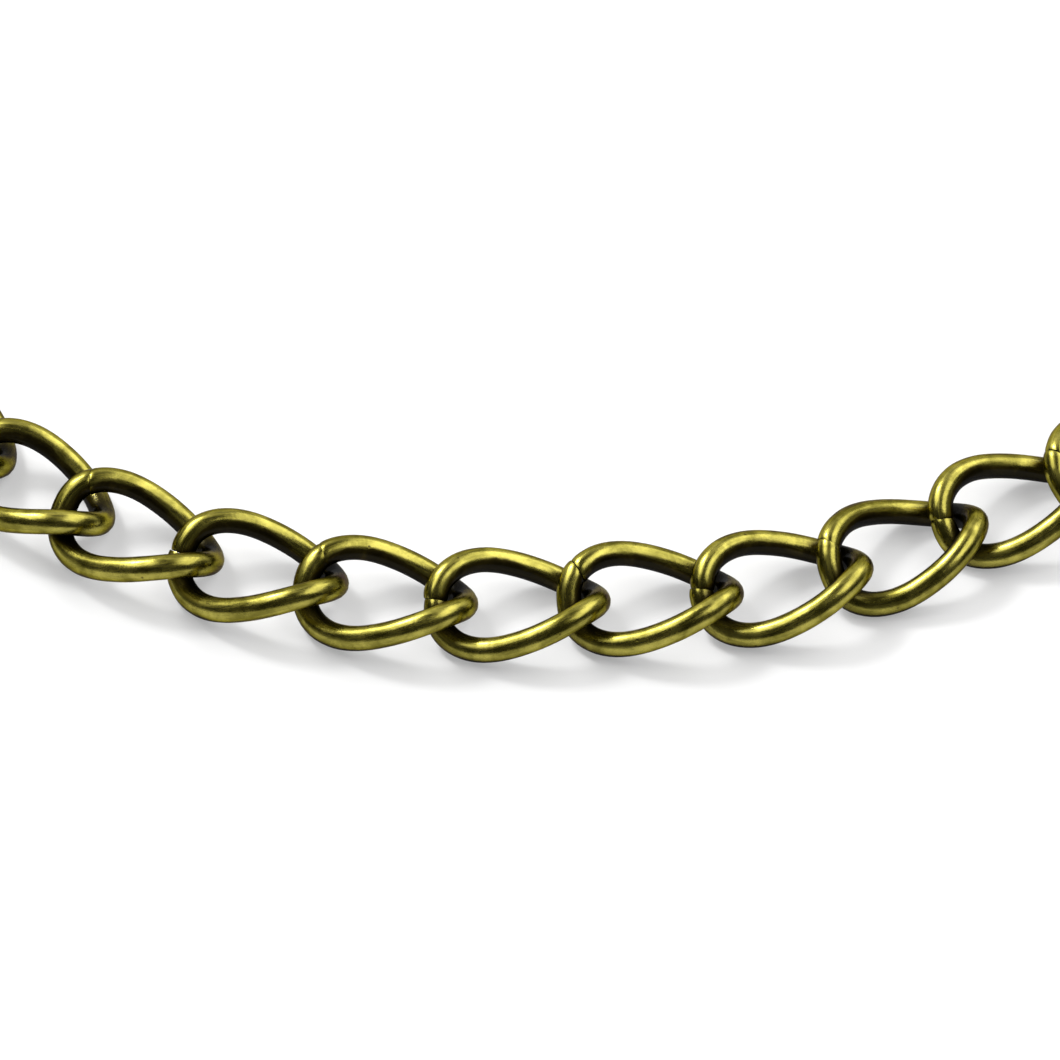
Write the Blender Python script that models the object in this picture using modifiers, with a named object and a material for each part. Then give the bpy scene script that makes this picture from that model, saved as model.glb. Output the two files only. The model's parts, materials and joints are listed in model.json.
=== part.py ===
"""Pocket watch chain: twisted curb links, a T-bar at one end and a swivel clasp at the other.

The chain lies on a table in an open U, its two arms running away from the viewer. Metres, +Z up, and
the origin is on the table, in the middle of the chain's box. Every loop, whether link, ring or eye, has
its own frame: x runs along the chain towards the clasp, y across it, z up.
"""

import math

import bmesh
import bpy
import numpy as np
from mathutils import Euler, Matrix, Vector

MM = 0.001

# The curb link: an oval of round wire whose two ends are twisted against each other.
WIRE = 1.2 * MM
LINK_LENGTH = 9.08 * MM
LINK_WIDTH = 6.36 * MM
LINK_SQUARENESS = 2.34
LINK_TWIST = math.radians(74)
LINK_COUNT = 34

# How the chain lies. Headings, noses and leans are in degrees: a heading turns a loop to the left, a
# nose below zero lifts its clasp end, and a lean lifts its left side.
MIDDLE_LAY = (
    (-45, 0, 0), (-38, -1, -1), (-26, 2, -2), (-18, -3, 1), (-10, -1, 2), (3, 0, 1),
    (2, -2, 2), (15, -2, 3), (31, 1, 2), (23, -2, 0), (42, -1, 0),
)
FIRST_MIDDLE_LINK = 12
ARM_TURN = 9.5
ARM_HEADING = 90
ARM_SWAY = 4
SWAY_STEP = 2

# The jump rings that tie the end fittings on: plain round rings, leaning on their neighbours.
RING_WIRE = 0.9 * MM
RING_DIAMETER = 6.0 * MM
TBAR_RING_NOSE = 8
TBAR_RING_LEAN = -45
CLASP_RING_LEAN = 35

# The T-bar: a turned rod with a ball at each end, and a collar in the middle that carries the bail.
BAR_DIAMETER = 2.4 * MM
BAR_LENGTH = 20.4 * MM
BAR_TIP_DIAMETER = 1.6 * MM
BALL_DIAMETER = 3.4 * MM
BALL_FLAT_DIAMETER = 1.2 * MM
COLLAR_WIDTH = 3.2 * MM
COLLAR_DIAMETER = 3.4 * MM
COLLAR_EDGE = 0.25 * MM
BAIL_WIRE = 1.0 * MM
BAIL_DIAMETER = 5.4 * MM
BAIL_NOSE = -6

# The swivel: an eye on a post that turns in the clasp's base and is held there by its peened head.
EYE_WIRE = 1.2 * MM
EYE_DIAMETER = 6.4 * MM
EYE_LEAN = -20
POST_DIAMETER = 1.6 * MM
POST_HEAD_DIAMETER = 2.8 * MM
POST_HEAD_HEIGHT = 0.8 * MM
POST_FLANGE_HEIGHT = 0.4 * MM
POST_FLANGE_DIAMETER = 2.6 * MM
EYE_TO_BASE = 4.0 * MM

# The clasp: a flat hook with a round nose, closed by a gate that swings in on a rivet.
CLASP_THICKNESS = 3.0 * MM
CLASP_LENGTH = 15.0 * MM
CLASP_WIDTH = 8.8 * MM
CLASP_WALL = 1.7 * MM
CLASP_BASE = 2.4 * MM
CLASP_NOSE = 2.2 * MM
CLASP_BASE_CORNER = 2.2 * MM
CLASP_EDGE = 0.25 * MM
NOSE_CORNER = 1.6 * MM
BASE_CORNER = 0.8 * MM
EAR_LENGTH = 2.6 * MM
BEAK_SETBACK = 2.0 * MM
GATE_THICKNESS = 1.4 * MM
GATE_DEPTH = 2.2 * MM
GATE_LIP = 0.8 * MM
GATE_EDGE = 0.08 * MM
THUMB_RADIUS = 1.1 * MM
THUMB_PROUD = 0.45 * MM
THUMB_SETBACK = 2.3 * MM
BOSS_RADIUS = 1.25 * MM
RIVET_DIAMETER = 1.0 * MM
SPRING_WIRE = 0.3 * MM
SPRING_PITCH = 1.05 * SPRING_WIRE
SPRING_TURNS = 2
SPRING_LEG = 1.0 * MM

# Clearances between neighbouring pieces. TOUCH is what is left between two loops' wires at rest, and
# PULL_STEP is how closely that is found.
TOUCH = 0.12 * MM
PULL_STEP = 0.01 * MM
RUN = 0.1 * MM
SEAT = 0.05 * MM
SLOT_GAP = 0.2 * MM

# How finely round things are drawn.
LINK_POINTS = 18
RING_POINTS = 16
LINE_STEPS = 5
WIRE_ROUNDING = 2
TURNED_SIDES = 16
BALL_STEPS = 7
ARC_STEP = math.radians(22.5)

# A length longer than any piece, for cutters that pass right through.
THROUGH = 30 * MM
MERGE = 0.001 * MM

parts = None
cutters = None


def start_collections():
    """Empty the file and make one collection for the parts and one for the cutters."""
    global parts, cutters
    for old in list(bpy.data.objects):
        bpy.data.objects.remove(old)
    parts = bpy.data.collections.new("pocket_watch_chain")
    cutters = bpy.data.collections.new("cutters")
    for collection in (parts, cutters):
        bpy.context.scene.collection.children.link(collection)


def metal(name, colour, roughness):
    """A bare metal."""
    material = bpy.data.materials.new(name)
    material.use_nodes = True
    shader = material.node_tree.nodes["Principled BSDF"]
    shader.inputs["Base Color"].default_value = (*colour, 1)
    shader.inputs["Metallic"].default_value = 1
    shader.inputs["Roughness"].default_value = roughness
    return material


def finished(piece, material):
    """Give a piece its material and put it among the parts."""
    piece.data.materials.append(material)
    parts.objects.link(piece)
    return piece


# ---------------------------------------------------------------- shapes


def wire_curve(name, points, diameter, closed):
    """A round wire bent through the given points."""
    curve = bpy.data.curves.new(name, "CURVE")
    curve.dimensions = "3D"
    curve.bevel_depth = diameter / 2
    curve.bevel_resolution = WIRE_ROUNDING
    curve.use_fill_caps = True
    spline = curve.splines.new("POLY")
    spline.points.add(len(points) - 1)
    for spline_point, point in zip(spline.points, points):
        spline_point.co = (*point, 1)
    spline.use_cyclic_u = closed
    return curve


def signed_power(value, power):
    """A power that keeps the sign of its base."""
    return math.copysign(abs(value) ** power, value)


def link_points():
    """The middle of a link's wire: a squarish oval, turned more and more from one end to the other."""
    half_length = (LINK_LENGTH - WIRE) / 2
    half_width = (LINK_WIDTH - WIRE) / 2
    points = []
    for step in range(LINK_POINTS):
        angle = math.tau * step / LINK_POINTS
        along = half_length * signed_power(math.cos(angle), 2 / LINK_SQUARENESS)
        across = half_width * signed_power(math.sin(angle), 2 / LINK_SQUARENESS)
        turn = -LINK_TWIST / 2 * along / half_length
        points.append((along, across * math.cos(turn), across * math.sin(turn)))
    return points


def ring_points(radius):
    """A circle in the xy plane."""
    angles = [math.tau * step / RING_POINTS for step in range(RING_POINTS)]
    return [(radius * math.cos(angle), radius * math.sin(angle), 0) for angle in angles]


def as_mesh(piece):
    """Turn a curve object, or one with modifiers, into a plain welded mesh object."""
    depsgraph = bpy.context.evaluated_depsgraph_get()
    depsgraph.update()
    mesh = bpy.data.meshes.new_from_object(piece.evaluated_get(depsgraph))
    welded = bmesh.new()
    welded.from_mesh(mesh)
    bmesh.ops.remove_doubles(welded, verts=welded.verts, dist=MERGE)
    welded.to_mesh(mesh)
    welded.free()
    name, place = piece.name, piece.matrix_world.copy()
    bpy.data.objects.remove(piece)
    result = bpy.data.objects.new(name, mesh)
    result.matrix_world = place
    return result


def scratch(name, data, place=None):
    """An object in the cutters' collection, hidden from the render."""
    piece = bpy.data.objects.new(name, data)
    piece.matrix_world = place or Matrix.Identity(4)
    piece.hide_render = True
    piece.display_type = "WIRE"
    cutters.objects.link(piece)
    return piece


def turned(name, profile):
    """A lathe-turned piece about the z axis, from (radius, height) pairs, top to bottom outside."""
    mesh = bpy.data.meshes.new(name)
    points = [(radius, 0, height) for radius, height in profile]
    edges = [(index, index + 1) for index in range(len(points) - 1)]
    if profile[0][0] > 0:
        edges.append((len(points) - 1, 0))
    mesh.from_pydata(points, edges, [])
    piece = bpy.data.objects.new(name, mesh)
    screw = piece.modifiers.new("turning", "SCREW")
    screw.steps = TURNED_SIDES
    screw.render_steps = TURNED_SIDES
    screw.use_merge_vertices = True
    screw.merge_threshold = MERGE
    return piece


def plate(name, outline, thickness, edge):
    """A flat plate of the given outline, half above and half below z = 0, with its edges broken."""
    curve = bpy.data.curves.new(name, "CURVE")
    curve.dimensions = "2D"
    curve.fill_mode = "BOTH"
    curve.extrude = thickness / 2
    spline = curve.splines.new("POLY")
    spline.points.add(len(outline) - 1)
    for spline_point, point in zip(spline.points, outline):
        spline_point.co = (*point, 0, 1)
    spline.use_cyclic_u = True
    flat = bpy.data.objects.new(name, curve)
    cutters.objects.link(flat)
    flat = as_mesh(flat)
    cutters.objects.link(flat)
    broken = flat.modifiers.new("broken_edges", "BEVEL")
    broken.width = edge
    broken.segments = 1
    broken.limit_method = "ANGLE"
    broken.angle_limit = math.radians(60)
    return as_mesh(flat)


def arc(centre, radius, start, end):
    """Points along a circle, from one angle to another in degrees, both ends included."""
    sweep = math.radians(end - start)
    steps = max(1, round(abs(sweep) / ARC_STEP))
    angles = [math.radians(start) + sweep * step / steps for step in range(steps + 1)]
    return [(centre[0] + radius * math.cos(a), centre[1] + radius * math.sin(a)) for a in angles]


def cylinder(name, diameter, length, place):
    """A cylinder cutter along the z axis of its place."""
    mesh = bpy.data.meshes.new(name)
    solid = bmesh.new()
    bmesh.ops.create_cone(
        solid, cap_ends=True, segments=TURNED_SIDES, radius1=diameter / 2, radius2=diameter / 2, depth=length
    )
    solid.to_mesh(mesh)
    solid.free()
    return scratch(name, mesh, place)


def box(name, low, high):
    """A box cutter between two corners."""
    mesh = bpy.data.meshes.new(name)
    solid = bmesh.new()
    bmesh.ops.create_cube(solid, size=1)
    solid.to_mesh(mesh)
    solid.free()
    low, high = Vector(low), Vector(high)
    size = Matrix.Diagonal((high - low).to_4d())
    size[3][3] = 1
    mesh.transform(Matrix.Translation((low + high) / 2) @ size)
    return scratch(name, mesh)


def combine(piece, tool, operation, solver="EXACT"):
    """Cut a tool out of a piece, or join it on."""
    step = piece.modifiers.new(tool.name, "BOOLEAN")
    step.operation = operation
    step.solver = solver
    step.object = tool


# ---------------------------------------------------------------- the chain's lay


class Loop:
    """One loop of the chain: its wire, its half length, how much its ends are twisted, and its lay."""

    def __init__(self, name, curve, half_length, wire, lay, twist=0.0, height=None):
        self.name = name
        self.curve = curve
        self.half_length = half_length
        self.wire = wire
        self.twist = twist
        heading, nose, lean = (math.radians(angle) for angle in lay)
        self.turn = Euler((lean, nose, heading)).to_matrix()
        self.forward = self.turn @ Vector((1, 0, 0))
        self.line = middle_line(curve, self.turn)
        self.height = -lowest(curve, self.turn) if height is None else height
        self.centre = None
        self.joint = None
        self.axis = None

    def end(self, side):
        """The middle of the end wire, and its direction. Side is 1 at the clasp end and -1 at the other."""
        tilt = -side * self.twist / 2
        return (
            self.centre + self.forward * self.half_length * side,
            self.turn @ Vector((0, math.cos(tilt), math.sin(tilt))),
        )

    def hang_on(self, before, on_own_end):
        """Draw this loop away from the one before it until their wires all but touch.

        It then swings either about its own end wire or about the end wire of the loop before it.
        """
        overlap = (before.wire + self.wire) / 2
        clear = False
        while not clear:
            overlap += PULL_STEP
            meeting = before.centre + before.forward * (before.half_length - overlap / 2)
            middle = meeting + self.forward * (self.half_length - overlap / 2)
            self.centre = Vector((middle.x, middle.y, self.height))
            clear = clearance(before, self) >= TOUCH or overlap > self.half_length
        self.joint, self.axis = self.end(-1) if on_own_end else before.end(1)


def middle_line(curve, turn):
    """Closely spaced points along the middle of a bent wire once it is turned."""
    corners = np.array([turn @ Vector(point.co[:3]) for point in curve.splines[0].points])
    onwards = np.roll(corners, -1, axis=0) - corners
    return np.concatenate([corners + onwards * step / LINE_STEPS for step in range(LINE_STEPS)])


def clearance(first, second):
    """The smallest gap between two loops' wires."""
    first_line = first.line + np.array(first.centre)
    second_line = second.line + np.array(second.centre)
    distances = np.linalg.norm(first_line[:, None] - second_line[None], axis=2)
    return distances.min() - (first.wire + second.wire) / 2


def lowest(curve, turn):
    """The lowest point of a bent wire once it is turned."""
    probe = scratch("probe", curve)
    depsgraph = bpy.context.evaluated_depsgraph_get()
    mesh = probe.evaluated_get(depsgraph).to_mesh()
    height = min((turn @ vertex.co).z for vertex in mesh.vertices)
    bpy.data.objects.remove(probe)
    return height


def link_lay(index):
    """How one link lies. The middle ones are as seen; the arms turn on evenly, lie flat and run straight."""
    last_middle = FIRST_MIDDLE_LINK + len(MIDDLE_LAY) - 1
    if FIRST_MIDDLE_LINK <= index <= last_middle:
        return MIDDLE_LAY[index - FIRST_MIDDLE_LINK]
    if index < FIRST_MIDDLE_LINK:
        side = -1
        beyond = FIRST_MIDDLE_LINK - index
        start = -MIDDLE_LAY[0][0]
    else:
        side = 1
        beyond = index - last_middle
        start = MIDDLE_LAY[-1][0]
    heading = min(start + ARM_TURN * beyond, ARM_HEADING)
    sway = ARM_SWAY * math.sin(SWAY_STEP * beyond) * (heading == ARM_HEADING)
    return side * heading + sway, 0, 0


def chain_loops():
    """Every loop from the T-bar's bail to the swivel eye, settled in its place."""
    link_curve = wire_curve("link", link_points(), WIRE, True)
    ring_radius = (RING_DIAMETER - RING_WIRE) / 2
    ring_curve = wire_curve("jump_ring", ring_points(ring_radius), RING_WIRE, True)
    bail_radius = (BAIL_DIAMETER - BAIL_WIRE) / 2
    bail_curve = wire_curve("bail", ring_points(bail_radius), BAIL_WIRE, True)
    eye_radius = (EYE_DIAMETER - EYE_WIRE) / 2
    eye_curve = wire_curve("eye", ring_points(eye_radius), EYE_WIRE, True)
    start, end = -ARM_HEADING, ARM_HEADING
    bail_rise = bail_offset() * math.sin(math.radians(-BAIL_NOSE))
    bail_height = BALL_DIAMETER / 2 + bail_rise
    eye_height = CLASP_THICKNESS / 2
    bail_lay = start, BAIL_NOSE, 0
    tbar_ring_lay = start, TBAR_RING_NOSE, TBAR_RING_LEAN
    clasp_ring_lay = end, 0, CLASP_RING_LEAN
    eye_lay = end, 0, EYE_LEAN
    loops = [
        Loop("tbar_bail", bail_curve, bail_radius, BAIL_WIRE, bail_lay, height=bail_height),
        Loop("tbar_jump_ring", ring_curve, ring_radius, RING_WIRE, tbar_ring_lay),
    ]
    for index in range(LINK_COUNT):
        half_length = (LINK_LENGTH - WIRE) / 2
        name = f"link_{index + 1:02}"
        loops.append(Loop(name, link_curve, half_length, WIRE, link_lay(index), LINK_TWIST))
    loops += [
        Loop("clasp_jump_ring", ring_curve, ring_radius, RING_WIRE, clasp_ring_lay),
        Loop("swivel_eye", eye_curve, eye_radius, EYE_WIRE, eye_lay, height=eye_height),
    ]
    loops[0].centre = Vector((0, 0, bail_height))
    for index, (before, after) in enumerate(zip(loops, loops[1:])):
        after.hang_on(before, index % 2 == 1)
    return loops


def carry(name, joint, axis, piece):
    """Parent a moving piece to an empty on its joint, with the empty's z along the joint's axis."""
    empty = bpy.data.objects.new(name, None)
    empty.empty_display_size = WIRE
    empty.matrix_world = Matrix.Translation(joint) @ axis.to_track_quat("Z", "Y").to_matrix().to_4x4()
    parts.objects.link(empty)
    piece.parent = empty
    piece.matrix_parent_inverse = empty.matrix_world.inverted()


def make_chain(loops, brass):
    """The links and jump rings, each carried by an empty on the end wire it swings about."""
    for loop in loops[1:-1]:
        piece = bpy.data.objects.new(loop.name, loop.curve)
        piece.matrix_world = Matrix.Translation(loop.centre) @ loop.turn.to_4x4()
        if not loop.curve.materials:
            loop.curve.materials.append(brass)
        parts.objects.link(piece)
        carry(loop.name + "_joint", loop.joint, loop.axis, piece)


# ---------------------------------------------------------------- the T-bar


def bail_offset():
    """How far the bail's middle is from the middle of the bar."""
    return COLLAR_DIAMETER / 2 + SEAT + BAIL_DIAMETER / 2


def make_tbar(bail, brass):
    """The T-bar lies across the chain's end, resting on its two balls."""
    collar_radius = COLLAR_DIAMETER / 2
    bar_centre = bail.centre - bail.forward * bail_offset()
    # The bar's own z axis runs along the bar, which lies across the chain.
    across = bail.turn @ Vector((0, 1, 0))
    bar_place = Matrix.Translation(bar_centre) @ across.to_track_quat("Z", "Y").to_matrix().to_4x4()

    piece = bpy.data.objects.new("tbar_bail", bail.curve)
    piece.matrix_world = Matrix.Translation(bail.centre) @ bail.turn.to_4x4()
    finished(piece, brass)

    bar_radius, tip_radius = BAR_DIAMETER / 2, BAR_TIP_DIAMETER / 2
    shoulder = COLLAR_WIDTH / 2 + COLLAR_DIAMETER / 4
    end = BAR_LENGTH / 2
    rod = [(0, end), (tip_radius, end), (bar_radius, shoulder), (bar_radius, -shoulder),
           (tip_radius, -end), (0, -end)]
    piece = turned("tbar_rod", rod)
    piece.matrix_world = bar_place
    finished(piece, brass)

    bore = bar_radius + SEAT
    half, corner = COLLAR_WIDTH / 2, COLLAR_EDGE
    collar = [(bore, half), (collar_radius - corner, half), (collar_radius, half - corner),
              (collar_radius, corner - half), (collar_radius - corner, -half), (bore, -half)]
    piece = turned("tbar_collar", collar)
    piece.matrix_world = bar_place
    finished(piece, brass)

    # A ball has a flat seat for the rod's tip and a small flat at its far pole.
    ball_radius = BALL_DIAMETER / 2
    seat_angle = math.asin(tip_radius / ball_radius)
    pole_angle = math.asin(BALL_FLAT_DIAMETER / BALL_DIAMETER)
    sweep = math.pi - seat_angle - pole_angle
    angles = [pole_angle + sweep * step / BALL_STEPS for step in range(BALL_STEPS + 1)]
    rim = [(ball_radius * math.sin(angle), ball_radius * math.cos(angle)) for angle in angles]
    ball = [(0, rim[0][1]), *rim, (0, rim[-1][1])]
    ball_height = end + SEAT - rim[-1][1]
    for name, side in (("tbar_ball_left", 1), ("tbar_ball_right", -1)):
        piece = turned(name, ball)
        facing = Matrix.Rotation(0 if side > 0 else math.pi, 4, "X")
        piece.matrix_world = bar_place @ Matrix.Translation((0, 0, side * ball_height)) @ facing
        finished(piece, brass)


# ---------------------------------------------------------------- the swivel clasp


def gate_pivot():
    """The rivet's place on the clasp: above the base's inner face, in the middle of the gate side."""
    half_inside = CLASP_WIDTH / 2 - CLASP_WALL
    return CLASP_BASE + BOSS_RADIUS, half_inside + CLASP_WALL / 2 - CLASP_EDGE


def ear_end():
    """Where the ears that hold the rivet stop along the clasp."""
    return CLASP_BASE + EAR_LENGTH


def beak_tip():
    """Where the hook's beak stops along the clasp."""
    return CLASP_LENGTH - CLASP_NOSE - BEAK_SETBACK


def clasp_outline():
    """The hook seen from above, in the clasp's frame: a C whose gap on the left side takes the gate."""
    half = CLASP_WIDTH / 2
    inside = half - CLASP_WALL
    nose = CLASP_LENGTH - CLASP_NOSE
    corner = CLASP_BASE_CORNER
    beak_angle = math.degrees(math.acos((beak_tip() - (CLASP_LENGTH - half)) / half))
    outline = arc((corner, corner - half), corner, 180, 270)
    outline += arc((CLASP_LENGTH - half, 0), half, -90, beak_angle)
    outline += [(beak_tip(), inside)]
    outline += arc((nose - NOSE_CORNER, inside - NOSE_CORNER), NOSE_CORNER, 90, 0)
    outline += arc((nose - NOSE_CORNER, NOSE_CORNER - inside), NOSE_CORNER, 0, -90)
    outline += arc((CLASP_BASE + BASE_CORNER, BASE_CORNER - inside), BASE_CORNER, 270, 180)
    outline += arc((CLASP_BASE + BASE_CORNER, inside - BASE_CORNER), BASE_CORNER, 180, 90)
    outline += [(ear_end(), inside), (ear_end(), half - CLASP_WALL / 3), (ear_end() - CLASP_WALL / 3, half)]
    outline += arc((corner, half - corner), corner, 90, 180)
    return outline


def gate_outline():
    """The gate seen from above: a boss on the rivet, a lever, and a lip that stops inside the beak."""
    pivot_x, pivot_y = gate_pivot()
    inside = CLASP_WIDTH / 2 - CLASP_WALL
    lip_top = inside - RUN
    low = lip_top - GATE_LIP
    step_x = beak_tip() - SLOT_GAP
    top = low + GATE_DEPTH
    thumb_x = step_x - THUMB_SETBACK
    rise = THUMB_RADIUS - THUMB_PROUD
    spread = math.degrees(math.asin(rise / THUMB_RADIUS))
    outline = arc((pivot_x, pivot_y), BOSS_RADIUS, 90, 250)
    # The lip's round end follows the corner inside the nose.
    lip_centre = CLASP_LENGTH - CLASP_NOSE - NOSE_CORNER, low + GATE_LIP / 2
    outline += [(pivot_x + BOSS_RADIUS, low)]
    outline += arc(lip_centre, GATE_LIP / 2, -90, 90)
    outline += [(step_x, lip_top), (step_x, top - GATE_EDGE), (step_x - GATE_EDGE, top)]
    outline += arc((thumb_x, top - rise), THUMB_RADIUS, spread, 180 - spread)
    return outline


def make_clasp(eye, brass, steel):
    """The swivel eye, the clasp's body, its gate, the rivet and the spring."""
    eye_place = Matrix.Translation(eye.centre) @ eye.turn.to_4x4()
    flat = Matrix.Rotation(math.radians(-EYE_LEAN), 4, "X")
    clasp_place = eye_place @ flat @ Matrix.Translation((EYE_TO_BASE, 0, 0))
    along = Matrix.Rotation(math.pi / 2, 4, "Y")
    bore_diameter = POST_DIAMETER + 2 * RUN

    # The eye, with its post and head turned about the clasp's length.
    head_start = EYE_TO_BASE + CLASP_BASE + RUN
    head_end = head_start + POST_HEAD_HEIGHT
    flange_end = EYE_TO_BASE - RUN
    flange_start = flange_end - POST_FLANGE_HEIGHT
    post, head, flange = POST_DIAMETER / 2, POST_HEAD_DIAMETER / 2, POST_FLANGE_DIAMETER / 2
    root = (EYE_DIAMETER - EYE_WIRE) / 2
    crown = POST_HEAD_HEIGHT / 2
    profile = [(0, head_end), (head / 2, head_end), (head, head_end - crown), (head, head_start),
               (post, head_start), (post, flange_end), (flange, flange_end), (flange, flange_start),
               (post, flange_start - post / 2), (post, root), (0, root)]
    shank = turned("eye_post", profile)
    shank.matrix_world = along
    cutters.objects.link(shank)
    shank.hide_render = True
    shank.display_type = "WIRE"
    ring = bpy.data.objects.new("swivel_eye", eye.curve)
    cutters.objects.link(ring)
    ring = as_mesh(ring)
    shank.matrix_world = eye_place @ along
    ring.matrix_world = eye_place
    combine(ring, shank, "UNION")
    finished(ring, brass)

    # The body, with the post's bore, the slot for the gate and the rivet's hole.
    body = plate("clasp_body", clasp_outline(), CLASP_THICKNESS, CLASP_EDGE)
    body.matrix_world = clasp_place
    pivot_x, pivot_y = gate_pivot()
    pivot_place = clasp_place @ Matrix.Translation((pivot_x, pivot_y, 0))
    bore = cylinder("post_bore", bore_diameter, 2 * (CLASP_BASE + CLASP_WALL), clasp_place @ along)
    slot_radius = BOSS_RADIUS + SLOT_GAP
    slot_half = GATE_THICKNESS / 2 + SLOT_GAP
    slot = box("gate_slot", (pivot_x - slot_radius, pivot_y - slot_radius, -slot_half),
               (THROUGH, THROUGH, slot_half))
    slot_end = box("slot_end", (ear_end() + SLOT_GAP, -THROUGH, -THROUGH), (THROUGH, THROUGH, THROUGH))
    combine(slot, slot_end, "DIFFERENCE")
    slot.matrix_world = clasp_place
    slot_end.matrix_world = clasp_place
    hole = cylinder("rivet_hole", RIVET_DIAMETER + 2 * SEAT, THROUGH, pivot_place)
    for tool in (bore, slot, hole):
        combine(body, tool, "DIFFERENCE")
    finished(body, brass)

    # The gate turns on the rivet. A round pocket in its boss takes the spring.
    coil_height = SPRING_WIRE * (SPRING_TURNS + 1)
    pocket_floor = GATE_THICKNESS / 2 - coil_height
    gate = plate("clasp_gate", gate_outline(), GATE_THICKNESS, GATE_EDGE)
    gate.data.transform(Matrix.Translation((-pivot_x, -pivot_y, 0)))
    gate.matrix_world = pivot_place
    gate_hole = cylinder("gate_hole", RIVET_DIAMETER + 2 * RUN, THROUGH, pivot_place)
    pocket_place = pivot_place @ Matrix.Translation((0, 0, pocket_floor + THROUGH / 2))
    pocket = cylinder("spring_pocket", 2 * slot_radius, THROUGH, pocket_place)
    # The exact solver loses the gate where the pocket runs out of its edge.
    for tool in (gate_hole, pocket):
        combine(gate, tool, "DIFFERENCE", "MANIFOLD")
    finished(gate, brass)

    # The rivet is filed flush with both faces of the clasp.
    half = CLASP_THICKNESS / 2
    radius = RIVET_DIAMETER / 2
    rivet = turned("gate_rivet", [(0, half), (radius, half), (radius, -half), (0, -half)])
    rivet.matrix_world = pivot_place
    finished(rivet, brass)

    # A small coil round the rivet pushes the gate shut. Its two legs point out of the coil.
    coil_radius = radius + 2 * RUN + SPRING_WIRE / 2
    coil_start = pocket_floor + RUN + SPRING_WIRE / 2
    steps = SPRING_TURNS * TURNED_SIDES
    rise = SPRING_PITCH * SPRING_TURNS
    coil = []
    for step in range(steps + 1):
        angle = math.tau * SPRING_TURNS * step / steps
        height = coil_start + rise * step / steps
        coil.append((coil_radius * math.cos(angle), coil_radius * math.sin(angle), height))
    first, last = Vector(coil[0]), Vector(coil[-1])
    coil.insert(0, first + Vector((0, -SPRING_LEG, 0)))
    coil.append(last + Vector((0, SPRING_LEG, 0)))
    spring_curve = wire_curve("gate_spring", coil, SPRING_WIRE, False)
    spring = bpy.data.objects.new("gate_spring", spring_curve)
    spring.matrix_world = pivot_place
    finished(spring, steel)


# ---------------------------------------------------------------- the whole


def centre_on_table():
    """Move everything so that the origin is under the middle of the chain's box, on the table."""
    depsgraph = bpy.context.evaluated_depsgraph_get()
    depsgraph.update()
    corners = []
    for piece in parts.objects:
        if piece.type == "EMPTY":
            continue
        evaluated = piece.evaluated_get(depsgraph)
        mesh = evaluated.to_mesh()
        corners += [evaluated.matrix_world @ vertex.co for vertex in mesh.vertices]
        evaluated.to_mesh_clear()
    low = Vector(min(corner[axis] for corner in corners) for axis in range(3))
    high = Vector(max(corner[axis] for corner in corners) for axis in range(3))
    shift = Matrix.Translation((-(low.x + high.x) / 2, -(low.y + high.y) / 2, -low.z))
    for piece in [*parts.objects, *cutters.objects]:
        if piece.parent is None:
            piece.matrix_world = shift @ piece.matrix_world


def main():
    start_collections()
    brass = metal("antique_brass", (0.33, 0.27, 0.08), 0.3)
    steel = metal("spring_steel", (0.32, 0.31, 0.29), 0.35)
    loops = chain_loops()
    make_tbar(loops[0], brass)
    make_chain(loops, brass)
    make_clasp(loops[-1], brass, steel)
    centre_on_table()


main()
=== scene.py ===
# %% [markdown]
# # A pocket watch chain in antique brass
# The real chain is a string of curb links: ovals of round brass wire, each twisted so that it lies flat
# against its neighbours. A T-bar at one end goes through a buttonhole, and a swivel clasp at the other
# holds the watch. The shape and the joints come from the imported model. This script makes the fine
# surface: smooth wire with its butt seams, the worn antique finish with shade painted into its dark
# parts, and the studio around it.

# %% Load the imported model
import json
import math
from functools import partial

import bmesh
import bpy
import numpy as np
from mathutils import Matrix, Vector


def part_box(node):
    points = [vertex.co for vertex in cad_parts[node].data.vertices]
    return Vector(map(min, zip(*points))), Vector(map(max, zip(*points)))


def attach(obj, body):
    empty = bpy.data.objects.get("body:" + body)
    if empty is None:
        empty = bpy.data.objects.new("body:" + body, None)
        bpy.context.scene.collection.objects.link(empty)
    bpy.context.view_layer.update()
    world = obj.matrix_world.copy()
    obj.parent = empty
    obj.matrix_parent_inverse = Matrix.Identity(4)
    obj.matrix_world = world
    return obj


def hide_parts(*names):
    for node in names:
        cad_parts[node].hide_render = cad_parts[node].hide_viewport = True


MM = 0.001

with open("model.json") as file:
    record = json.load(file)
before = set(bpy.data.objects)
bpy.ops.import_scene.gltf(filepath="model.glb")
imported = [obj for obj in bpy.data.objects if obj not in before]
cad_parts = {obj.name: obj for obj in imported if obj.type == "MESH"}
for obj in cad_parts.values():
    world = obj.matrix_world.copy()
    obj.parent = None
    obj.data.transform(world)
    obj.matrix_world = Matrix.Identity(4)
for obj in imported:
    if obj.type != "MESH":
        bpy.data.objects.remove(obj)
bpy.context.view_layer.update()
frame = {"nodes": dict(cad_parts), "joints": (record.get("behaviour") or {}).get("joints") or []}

# %% [markdown]
# ## Helpers for node trees and objects
# Materials and Geometry Nodes trees are both made of nodes, so one function adds a node to either kind:
# it sets the node's own settings, fills in its inputs, and links those that come from another node.
# Colours are written as sRGB hex values, as a paint program shows them, and turned to linear here.


# %% Node, colour and object helpers
def add_node(tree, kind, inputs=None, **settings):
    """Add a node. Inputs maps a socket's name or number to a value, or to another node's output."""
    node = tree.nodes.new(kind)
    for name, value in settings.items():
        setattr(node, name, value)
    for key, value in (inputs or {}).items():
        if isinstance(value, bpy.types.NodeSocket):
            tree.links.new(value, node.inputs[key])
        else:
            node.inputs[key].default_value = value
    return node


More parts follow.
